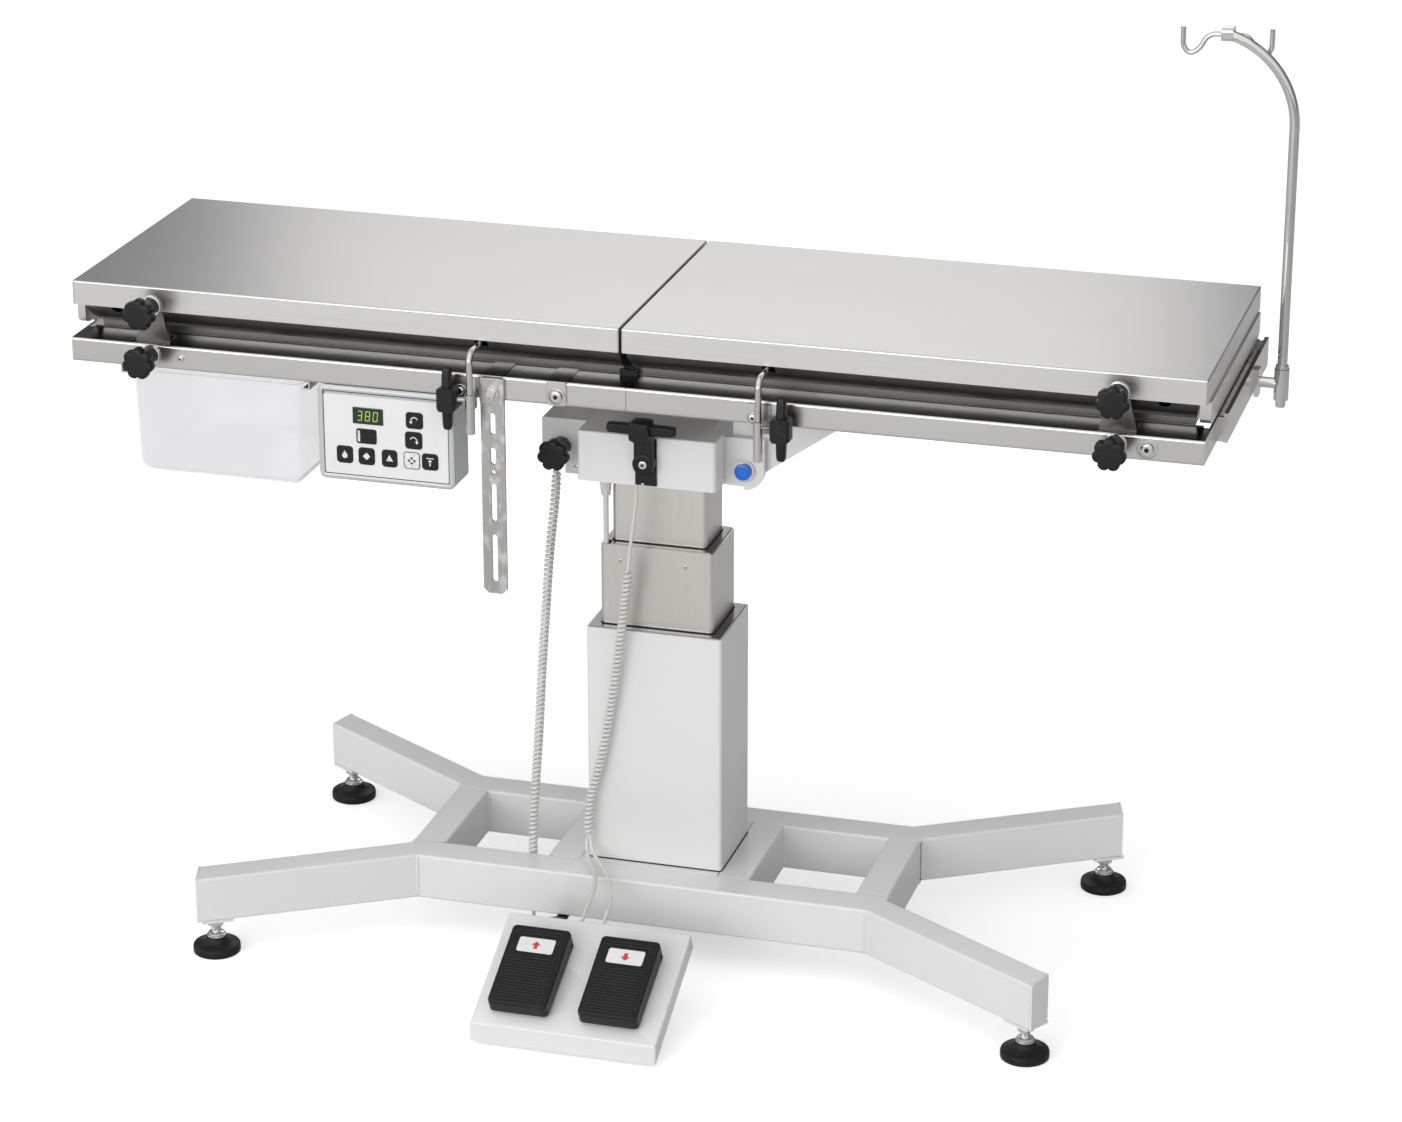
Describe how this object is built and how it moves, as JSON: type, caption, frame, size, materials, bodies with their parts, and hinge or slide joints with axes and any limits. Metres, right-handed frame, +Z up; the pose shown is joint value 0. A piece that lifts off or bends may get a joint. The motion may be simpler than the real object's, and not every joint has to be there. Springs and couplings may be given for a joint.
{
  "type": "operating table",
  "caption": "Height-adjustable operating table with a split stainless top, tilting frame, pedal lift, side bin, control box and infusion pole.",
  "frame": {"origin": "centre of the base on the floor", "axes": "+X to the right end with the infusion pole, +Y to the back, +Z up"},
  "size_m": [1.453, 0.6809, 1.1973],
  "materials": {
    "stainless": "brushed",
    "stainless_frame": "satin",
    "white_paint": "satin powder coat",
    "chrome": "polished",
    "black_plastic": "satin",
    "black_metal": "satin",
    "blue_plastic": "gloss",
    "grey_plastic": "matte",
    "keypad": "printed overlay",
    "clear_plastic": "clear",
    "dark_glide": "matte",
    "actuator": "cast and turned",
    "cord": "translucent sheath",
    "foot": "moulded"
  },
  "bodies": {
    "base": {"side_beam": "white_paint", "cross_beam": "white_paint", "base_leg": "white_paint", "leg_end_plate": "white_paint", "column_plate": "white_paint", "outer_sleeve": "white_paint", "outer_glide": "dark_glide", "lift_actuator": "actuator", "pedal_base": "white_paint", "pedal_arm": "black_metal", "pedal_switch": "black_plastic", "cord_left": "cord", "cord_right": "cord", "cord_tails": "cord"},
    "foot_fl": {"foot_front_left": "foot"},
    "foot_fr": {"foot_front_right": "foot"},
    "foot_rl": {"foot_rear_left": "foot"},
    "foot_rr": {"foot_rear_right": "foot"},
    "raise_pedal": {"pedal_raise": "black_plastic"},
    "lower_pedal": {"pedal_lower": "black_plastic"},
    "middle": {"middle_sleeve": "stainless_frame", "middle_glide": "dark_glide"},
    "head": {"inner_sleeve": "stainless_frame", "actuator_rod": "chrome", "head_housing": "white_paint", "head_wing": "white_paint", "head_ear": "white_paint", "tilt_shaft": "chrome", "shaft_cap": "blue_plastic", "lever_plate": "black_metal", "cable_gland": "grey_plastic", "cord_short": "cord"},
    "lever": {"tilt_lever": "black_plastic"},
    "lock": {"tilt_knob": "black_plastic"},
    "frame": {"frame_rail": "stainless_frame", "frame_crossbar": "stainless_frame", "tilt_arm": "white_paint", "pivot_ear": "stainless_frame", "rod_guide": "stainless_frame", "rail_fixings": "chrome", "bin_runner": "stainless_frame", "control_case": "grey_plastic", "control_panel": "keypad", "accessory_rail": "stainless_frame", "pole_socket": "chrome"},
    "section_l": {"leaf_left": "stainless", "pan_left": "stainless"},
    "section_r": {"leaf_right": "stainless", "pan_right": "stainless"},
    "prop_l": {"rod_left": "chrome"},
    "prop_r": {"rod_right": "chrome"},
    "clamp_l": {"wing_left": "black_plastic"},
    "clamp_r": {"wing_right": "black_plastic"},
    "knob_ul": {"knob_upper_left": "black_plastic"},
    "knob_ur": {"knob_upper_right": "black_plastic"},
    "knob_ll": {"knob_lower_left": "black_plastic"},
    "knob_lr": {"knob_lower_right": "black_plastic"},
    "hanging_bar": {"slotted_bar": "stainless_frame"},
    "bin": {"storage_bin": "clear_plastic"},
    "pole": {"infusion_pole": "chrome"}
  },
  "joints": [
    {"name": "lift", "type": "slide", "parent": "base", "child": "head", "axis": [0, 0, 1], "range_m": [-0.12, 0.17], "deforming": ["cord_left", "cord_right"]},
    {"name": "lift_middle", "type": "slide", "parent": "base", "child": "middle", "axis": [0, 0, 1], "range_m": [-0.06, 0.085]},
    {"name": "tilt", "type": "hinge", "parent": "head", "child": "frame", "pos_m": [0.122, 0, 0.652], "axis": [0, 1, 0], "range_deg": [-10, 10]},
    {"name": "lever_swing", "type": "hinge", "parent": "head", "child": "lever", "pos_m": [0.011, -0.13, 0.668], "axis": [0, 1, 0], "range_deg": [0, 25]},
    {"name": "lock_turn", "type": "hinge", "parent": "head", "child": "lock", "pos_m": [-0.109, -0.1, 0.662], "axis": [0, 1, 0], "range_deg": [0, 180]},
    {"name": "section_left", "type": "hinge", "parent": "frame", "child": "section_l", "pos_m": [-0.597, 0, 0.832], "axis": [0, -1, 0], "range_deg": [0, 5]},
    {"name": "section_right", "type": "hinge", "parent": "frame", "child": "section_r", "pos_m": [0.597, 0, 0.832], "axis": [0, 1, 0], "range_deg": [0, 5]},
    {"name": "prop_left", "type": "slide", "parent": "frame", "child": "prop_l", "axis": [0, 0, 1], "range_m": [0, 0.037]},
    {"name": "prop_right", "type": "slide", "parent": "frame", "child": "prop_r", "axis": [0, 0, 1], "range_m": [0, 0.037]},
    {"name": "clamp_left", "type": "hinge", "parent": "frame", "child": "clamp_l", "pos_m": [-0.2, -0.22, 0.76], "axis": [1, 0, 0], "range_deg": [-20, 20]},
    {"name": "clamp_right", "type": "hinge", "parent": "frame", "child": "clamp_r", "pos_m": [0.2, -0.22, 0.76], "axis": [1, 0, 0], "range_deg": [-20, 20]},
    {"name": "knob_upper_left_turn", "type": "hinge", "parent": "frame", "child": "knob_ul", "pos_m": [-0.597, -0.21, 0.832], "axis": [0, 1, 0], "range_deg": [0, 180]},
    {"name": "knob_upper_right_turn", "type": "hinge", "parent": "frame", "child": "knob_ur", "pos_m": [0.597, -0.21, 0.832], "axis": [0, 1, 0], "range_deg": [0, 180]},
    {"name": "knob_lower_left_turn", "type": "hinge", "parent": "frame", "child": "knob_ll", "pos_m": [-0.597, -0.22, 0.773], "axis": [0, 1, 0], "range_deg": [0, 180]},
    {"name": "knob_lower_right_turn", "type": "hinge", "parent": "frame", "child": "knob_lr", "pos_m": [0.597, -0.22, 0.773], "axis": [0, 1, 0], "range_deg": [0, 180]},
    {"name": "bar_swing", "type": "hinge", "parent": "frame", "child": "hanging_bar", "pos_m": [-0.156, -0.2, 0.767], "axis": [0, 1, 0], "range_deg": [-7, 7]},
    {"name": "bin_slide", "type": "slide", "parent": "frame", "child": "bin", "axis": [0, -1, 0], "range_m": [0, 0.14]},
    {"name": "pole_swivel", "type": "hinge", "parent": "frame", "child": "pole", "pos_m": [0.744, 0.09, 0.766], "axis": [0, 0, 1], "range_deg": [-90, 90]},
    {"name": "press_raise", "type": "hinge", "parent": "base", "child": "raise_pedal", "pos_m": [-0.073, -0.28968, 0.09182], "axis": [1, 0, 0], "range_deg": [0, 2.5], "stiffness_Nm_per_rad": 40, "springref_deg": -1.15},
    {"name": "press_lower", "type": "hinge", "parent": "base", "child": "lower_pedal", "pos_m": [0.041, -0.28968, 0.09182], "axis": [1, 0, 0], "range_deg": [0, 2.5], "stiffness_Nm_per_rad": 40, "springref_deg": -1.15},
    {"name": "foot_turn_front_left", "type": "hinge", "parent": "base", "child": "foot_fl", "pos_m": [-0.523, -0.248, 0.05], "axis": [0, 0, 1], "range_deg": [-180, 180]},
    {"name": "foot_turn_front_right", "type": "hinge", "parent": "base", "child": "foot_fr", "pos_m": [0.523, -0.248, 0.05], "axis": [0, 0, 1], "range_deg": [-180, 180]},
    {"name": "foot_turn_rear_left", "type": "hinge", "parent": "base", "child": "foot_rl", "pos_m": [-0.523, 0.248, 0.05], "axis": [0, 0, 1], "range_deg": [-180, 180]},
    {"name": "foot_turn_rear_right", "type": "hinge", "parent": "base", "child": "foot_rr", "pos_m": [0.523, 0.248, 0.05], "axis": [0, 0, 1], "range_deg": [-180, 180]}
  ],
  "couplings": [
    {"joint": "lift_middle", "follows": "lift", "ratio": 0.5},
    {"joint": "prop_left", "follows": "section_left", "m_per_rad": 0.419},
    {"joint": "prop_right", "follows": "section_right", "m_per_rad": 0.419}
  ]
}
